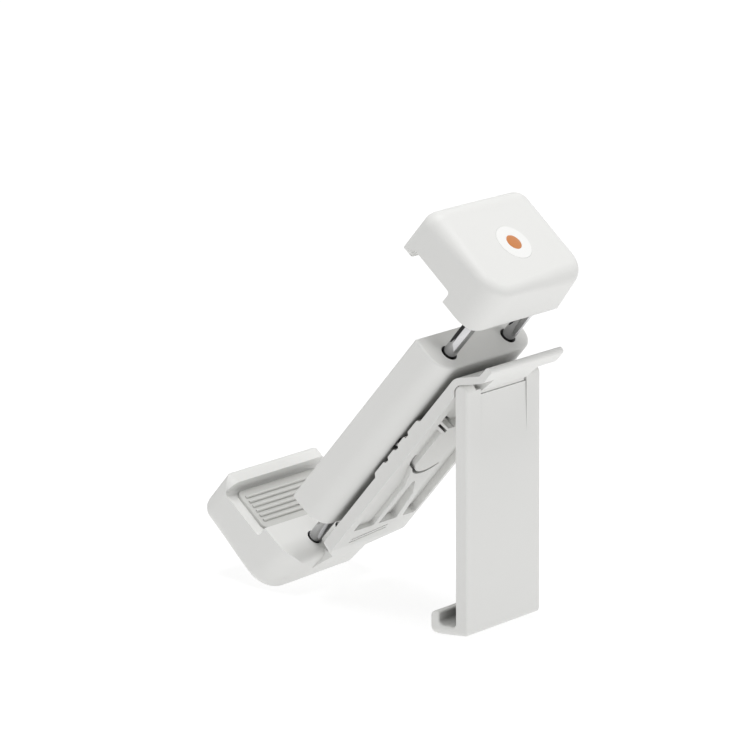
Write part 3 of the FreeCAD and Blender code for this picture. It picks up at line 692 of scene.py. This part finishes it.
@dataclass
class SoftPad:
    """Soft silicone pad with a grip pattern, in place of the plain solid of the same name.

    Args:
        node: The solid that it stands for.
        body: The body that it rides on.
        middle: Middle of the bearing face, in the holder's frame.
        tilt: Turn about x in degrees that brings the bearing face from up to its own side.
        width: Size along x.
        depth: Size along the other direction of its face.
        thickness: Full thickness, with the pattern.
        corner: Corner radius.
        pattern: What stands on its face.
        rise: How far the pattern stands out.
        half_width: Half the width of a rib or pip.
        pitch: Distance between two ribs or pips.
        margin: Plain border round the pattern.
        edge: Radius of the rounded rim.
        corner_steps: Points in each corner.
    """

    node: str
    body: str
    middle: tuple[float, float, float]
    tilt: float
    width: float
    depth: float
    thickness: float
    corner: float
    pattern: GripPattern
    rise: float
    half_width: float
    pitch: float
    margin: float
    edge: float
    corner_steps: int = 8

    def inputs(self, finish: bpy.types.Material) -> dict[str, object]:
        """Values for the tree's named inputs.

        Args:
            finish: The pad's material.

        Returns:
            Input name to value.
        """
        rows = int((self.depth - 2 * self.margin - 2 * self.half_width) / self.pitch) + 1
        values = {
            "Finish": finish,
            "Rise": self.rise,
            "Half Width": self.half_width,
            "Pitch": self.pitch,
            "Rows": rows,
        }
        if self.pattern is GripPattern.RIBS:
            values["Length"] = self.width - 2 * self.margin
        else:
            values["Columns"] = int((self.width - 2 * self.margin - 2 * self.half_width) / self.pitch) + 1
        return values

    def build(self, holder: HolderFrame, finish: bpy.types.Material) -> bpy.types.Object:
        """Build the pad.

        Args:
            holder: The holder's frame.
            finish: The pad's material.

        Returns:
            The pad's object.
        """
        outline = rounded_outline(self.width, self.depth, self.corner, self.corner_steps)
        sheet = soft_sheet(self.node + "_sheet", outline, self.rise - self.thickness, 0.0, self.edge)
        source = bpy.data.objects.new(self.node + "_sheet", sheet)
        bpy.context.scene.collection.objects.link(source)
        modifier = source.modifiers.new("grip", "NODES")
        modifier.node_group = GripTree.get(self.pattern)
        items = modifier.node_group.interface.items_tree
        sockets = {item.name: item.identifier for item in items if item.in_out == "INPUT"}
        for name, value in self.inputs(finish).items():
            modifier[sockets[name]] = value
        grown = source.evaluated_get(bpy.context.evaluated_depsgraph_get())
        mesh = bpy.data.meshes.new_from_object(grown)
        bpy.data.objects.remove(source)
        turn = Matrix.Rotation(math.radians(self.tilt), 4, "X")
        place = Matrix.Translation(self.middle) @ turn @ Matrix.Translation((0, 0, -self.rise))
        mesh.transform(holder.matrix() @ place)
        mesh.shade_smooth()
        mesh.set_sharp_from_angle(angle=SHARP_ANGLE)
        pad = bpy.data.objects.new(self.node + "_grip", mesh)
        bpy.context.scene.collection.objects.link(pad)
        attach(pad, self.body)
        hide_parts(self.node)
        LOG.info("pad %s built with %d faces", pad.name, len(mesh.polygons))
        return pad


@dataclass
class JawPads:
    """The two ribbed pads inside the jaws and the pad on the housing's front.

    Args:
        grip_opening: Distance between the bearing faces of the jaw pads.
        jaw_pad_width: Size of a jaw pad along x.
        jaw_pad_front: Front edge of a jaw pad.
        jaw_pad_back: Back edge of a jaw pad.
        jaw_pad_thickness: Thickness of a jaw pad.
        rest_pad_width: Size of the rest pad along x.
        rest_pad_low: Lower edge of the rest pad.
        rest_pad_high: Upper edge of the rest pad.
        rest_pad_thickness: Thickness of the rest pad.
    """

    grip_opening: float = 74.5
    jaw_pad_width: float = 26.0
    jaw_pad_front: float = 11.0
    jaw_pad_back: float = 0.8
    jaw_pad_thickness: float = 1.0
    rest_pad_width: float = 18.0
    rest_pad_low: float = 20.6
    rest_pad_high: float = 53.9
    rest_pad_thickness: float = 0.3

    def jaw_pad(self, node: str, body: str, height: float, tilt: float) -> SoftPad:
        """Pad of one jaw.

        Args:
            node: The solid that it stands for.
            body: The body that it rides on.
            height: Height of its bearing face.
            tilt: Turn of its bearing face from up.

        Returns:
            The pad, not yet built.
        """
        middle = (0.0, (self.jaw_pad_front + self.jaw_pad_back) / 2, height)
        return SoftPad(
            node=node,
            body=body,
            middle=middle,
            tilt=tilt,
            width=self.jaw_pad_width,
            depth=self.jaw_pad_front - self.jaw_pad_back,
            thickness=self.jaw_pad_thickness,
            corner=1.5,
            pattern=GripPattern.RIBS,
            rise=0.35,
            half_width=0.36,
            pitch=1.25,
            margin=1.1,
            edge=0.2,
        )

    def build(self, holder: HolderFrame, finish: bpy.types.Material) -> None:
        """Build all three pads.

        Args:
            holder: The holder's frame.
            finish: Their material.
        """
        self.jaw_pad("lower_jaw_pad", "base", 0.0, 0.0).build(holder, finish)
        self.jaw_pad("upper_jaw_pad", "jaw_stage", self.grip_opening, 180.0).build(holder, finish)
        rest = SoftPad(
            node="rest_pad",
            body="housing_stage",
            middle=(0.0, 0.0, (self.rest_pad_low + self.rest_pad_high) / 2),
            tilt=-90.0,
            width=self.rest_pad_width,
            depth=self.rest_pad_high - self.rest_pad_low,
            thickness=self.rest_pad_thickness,
            corner=3.0,
            pattern=GripPattern.PIPS,
            rise=0.14,
            half_width=0.34,
            pitch=1.5,
            margin=1.2,
            edge=0.08,
        )
        rest.build(holder, finish)


@dataclass
class Badge:
    """Plain dot in the middle of the badge disc.

    Args:
        height: Height of the disc's top face.
        front: Distance of the disc's middle from the bearing face of the rest pad.
        dot_diameter: Diameter of the dot.
        dot_rise: How far the middle of the dot stands out.
        segments: Points round the dot.
        rings: Rings from the dot's rim to its middle.
    """

    height: float = 84.35
    front: float = 2.2
    dot_diameter: float = 3.6
    dot_rise: float = 0.12
    segments: int = 64
    rings: int = 6

    def build(self, holder: HolderFrame, finish: bpy.types.Material) -> bpy.types.Object:
        """Build the dot as a low dome with a closed underside.

        Args:
            holder: The holder's frame.
            finish: The dot's material.

        Returns:
            The dot's object, riding with the upper jaw.
        """
        shape = bmesh.new()
        rows = []
        for ring in range(self.rings):
            slope = math.pi / 2 * ring / self.rings
            radius = self.dot_diameter / 2 * math.cos(slope)
            rise = self.dot_rise * math.sin(slope)
            row = []
            for step in range(self.segments):
                angle = 2 * math.pi * step / self.segments
                row.append(shape.verts.new((radius * math.cos(angle), radius * math.sin(angle), rise)))
            rows.append(row)
        for lower, upper in zip(rows, rows[1:]):
            for step in range(self.segments):
                after = (step + 1) % self.segments
                shape.faces.new((lower[step], lower[after], upper[after], upper[step]))
        crown = shape.verts.new((0, 0, self.dot_rise))
        for step in range(self.segments):
            shape.faces.new((rows[-1][step], rows[-1][(step + 1) % self.segments], crown))
        shape.faces.new(list(reversed(rows[0])))
        place = Matrix.Translation((0, self.front, self.height))
        bmesh.ops.transform(shape, matrix=holder.matrix() @ place, verts=shape.verts)
        mesh = bpy.data.meshes.new("badge_dot")
        shape.to_mesh(mesh)
        shape.free()
        mesh.shade_smooth()
        mesh.set_sharp_from_angle(angle=SHARP_ANGLE)
        mesh.materials.append(finish)
        dot = bpy.data.objects.new("badge_dot", mesh)
        bpy.context.scene.collection.objects.link(dot)
        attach(dot, "jaw_stage")
        LOG.info("badge dot built")
        return dot


@dataclass(frozen=True)
class Lamp:
    """Square soft lamp aimed at the holder.

    Args:
        name: The lamp's name.
        place: Row place in metres.
        size: Side of the lamp in metres.
        power: Power in watts.
    """

    name: str
    place: tuple[float, float, float]
    size: float
    power: float

    def build(self, aim: Vector) -> None:
        """Build the lamp.

        Args:
            aim: Row place that it points at.
        """
        data = bpy.data.lights.new(self.name, "AREA")
        data.size = self.size
        data.energy = self.power
        lamp = bpy.data.objects.new(self.name, data)
        bpy.context.scene.collection.objects.link(lamp)
        turn = (aim - Vector(self.place)).to_track_quat("-Z", "Y").to_matrix().to_4x4()
        lamp.matrix_world = Matrix.Translation(self.place) @ turn


@dataclass
class Studio:
    """Floor, lamps, world and camera.

    Args:
        lens: Focal length of the camera, in millimetres.
        sensor: Width of the camera's sensor, in millimetres.
        eye: Camera place in the holder's frame, in millimetres.
        gaze: Direction the camera looks along, in the holder's frame.
        crown: Direction of the picture's top, in the holder's frame.
        near: Nearest distance that the camera draws, in metres.
        far: Farthest distance that it draws, in metres.
        aim: Row place that the lamps point at.
        sky: Strength of the even light from all round.
        floor_size: Side of the floor in metres.
        floor_glow: How bright the floor looks where the holder's shadow takes all light.
        floor_shade: Tone that the light on the floor adds to that.
        table_tone: Tone of the floor for the light that it throws back on the holder.
        table_glow: Light that the floor itself gives, as a lit table does.
        table_roughness: Roughness of the floor.
        table_specular: Specular level of the floor.
        flag_tone: Tone of the dark flag that only the steel reflects.
        flag_middle: Row place of the middle of the flag.
        flag_size: Width and height of the flag in metres.
        lamps: The lamps.
    """

    lens: float = 240.0
    sensor: float = 36.0
    eye: tuple[float, float, float] = (-768.6, -308.73, 624.26)
    gaze: tuple[float, float, float] = (0.755, 0.3112, -0.5772)
    crown: tuple[float, float, float] = (0.1853, 0.7432, 0.6429)
    near: float = 0.05
    far: float = 20.0
    aim: tuple[float, float, float] = (0.0, 0.0, 0.04)
    sky: float = 0.39
    floor_size: float = 6.0
    floor_glow: float = 0.8
    floor_shade: float = 0.3
    table_tone: float = 0.5
    table_glow: float = 0.56
    table_roughness: float = 0.9
    table_specular: float = 0.1
    flag_tone: float = 0.02
    flag_middle: tuple[float, float, float] = (0.1, 0.11, 0.065)
    flag_size: tuple[float, float] = (0.5, 0.13)
    lamps: tuple[Lamp, ...] = (
        Lamp("overhead", (0.0, 0.0, 1.35), 0.8, 11.2),
        Lamp("behind", (0.4, -1.2, 0.35), 0.5, 1.9),
        Lamp("left", (-1.0, -0.35, 0.55), 0.7, 0.8),
    )

    def add_camera(self, holder: HolderFrame) -> None:
        """Place the camera where the photograph was taken from.

        Args:
            holder: The holder's frame.
        """
        data = bpy.data.cameras.new("photo_camera")
        data.lens = self.lens
        data.sensor_width = self.sensor
        data.clip_start = self.near
        data.clip_end = self.far
        camera = bpy.data.objects.new("photo_camera", data)
        bpy.context.scene.collection.objects.link(camera)
        back = -holder.turn(*self.gaze).normalized()
        right = holder.turn(*self.crown).cross(back).normalized()
        up = back.cross(right)
        turn = Matrix((right, up, back)).transposed()
        camera.matrix_world = Matrix.Translation(holder.place(*self.eye)) @ turn.to_4x4()
        bpy.context.scene.camera = camera

    @staticmethod
    def seen_share(wiring: Wiring) -> bpy.types.NodeSocket:
        """Share that is 1 for what the camera sees straight, in gloss or through glass.

        Args:
            wiring: Wiring of the floor's or the world's tree.

        Returns:
            Output with the share.
        """
        path = wiring.add("ShaderNodeLightPath").outputs
        straight = wiring.math("MAXIMUM", path["Is Camera Ray"], path["Is Glossy Ray"])
        return wiring.math("MAXIMUM", straight, path["Is Transmission Ray"])

    def add_floor(self) -> None:
        """Lay the plain pale floor, which looks white and keeps the holder's shadow."""
        mesh = bpy.data.meshes.new("floor")
        half = self.floor_size / 2
        edge = [(-half, -half, 0), (half, -half, 0), (half, half, 0), (-half, half, 0)]
        mesh.from_pydata(edge, [], [(0, 1, 2, 3)])
        floor = bpy.data.objects.new("floor", mesh)
        bpy.context.scene.collection.objects.link(floor)
        material, wiring, shader = new_material("floor_white")
        table_feeds = {
            "Base Color": grey(self.table_tone),
            "Emission Color": WHITE,
            "Emission Strength": self.table_glow,
            "Roughness": self.table_roughness,
            "Specular IOR Level": self.table_specular,
        }
        wiring.feed(shader, table_feeds)
        shade = wiring.add("ShaderNodeBsdfDiffuse", {"Color": grey(self.floor_shade)})
        glow = wiring.add("ShaderNodeEmission", {"Color": WHITE, "Strength": self.floor_glow})
        shown = wiring.add("ShaderNodeAddShader", {0: shade.outputs[0], 1: glow.outputs[0]})
        mixed = wiring.add(
            "ShaderNodeMixShader",
            {0: self.seen_share(wiring), 1: shader.outputs[0], 2: shown.outputs[0]},
        )
        output = material.node_tree.nodes["Material Output"]
        material.node_tree.links.new(mixed.outputs[0], output.inputs["Surface"])
        mesh.materials.append(material)

    def add_flag(self) -> None:
        """Stand a dark flag before the holder, which gives the polished rods their dark flanks."""
        mesh = bpy.data.meshes.new("dark_flag")
        across, high = self.flag_size[0] / 2, self.flag_size[1] / 2
        middle = Vector(self.flag_middle)
        edge = [(-across, -high), (across, -high), (across, high), (-across, high)]
        mesh.from_pydata([middle + Vector((x, 0, z)) for x, z in edge], [], [(0, 1, 2, 3)])
        flag = bpy.data.objects.new("dark_flag", mesh)
        bpy.context.scene.collection.objects.link(flag)
        material, wiring, shader = new_material("flag_black")
        wiring.feed(shader, {"Base Color": grey(self.flag_tone)})
        mesh.materials.append(material)
        flag.visible_camera = False
        flag.visible_diffuse = False
        flag.visible_transmission = False
        flag.visible_shadow = False

    def add_world(self) -> None:
        """Even pale surroundings that light the holder from all round and look white."""
        world = bpy.data.worlds.new("studio")
        bpy.context.scene.world = world
        world.use_nodes = True
        wiring = Wiring(world.node_tree)
        light = world.node_tree.nodes["Background"]
        light.inputs["Color"].default_value = WHITE
        strength = wiring.math("MULTIPLY_ADD", self.seen_share(wiring), 1.0 - self.sky, self.sky)
        world.node_tree.links.new(strength, light.inputs["Strength"])

    def build(self, holder: HolderFrame) -> None:
        """Build the whole studio.

        Args:
            holder: The holder's frame.
        """
        self.add_world()
        self.add_floor()
        self.add_flag()
        for lamp in self.lamps:
            lamp.build(Vector(self.aim))
            LOG.info("lamp %s built", lamp.name)
        self.add_camera(holder)
        bpy.context.scene.view_settings.view_transform = "Standard"


def main() -> None:
    """Build the holder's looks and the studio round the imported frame."""
    logging.basicConfig(level=logging.INFO, format="%(message)s")
    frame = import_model()
    holder = HolderFrame.from_frame(frame)
    dressing = Dressing(frame, holder)
    dressing.dress_solids()
    JawPads().build(holder, dressing.materials["soft_pad"])
    Badge().build(holder, dressing.materials["badge_orange"])
    Studio().build(holder)


if __name__ == "__main__":
    main()
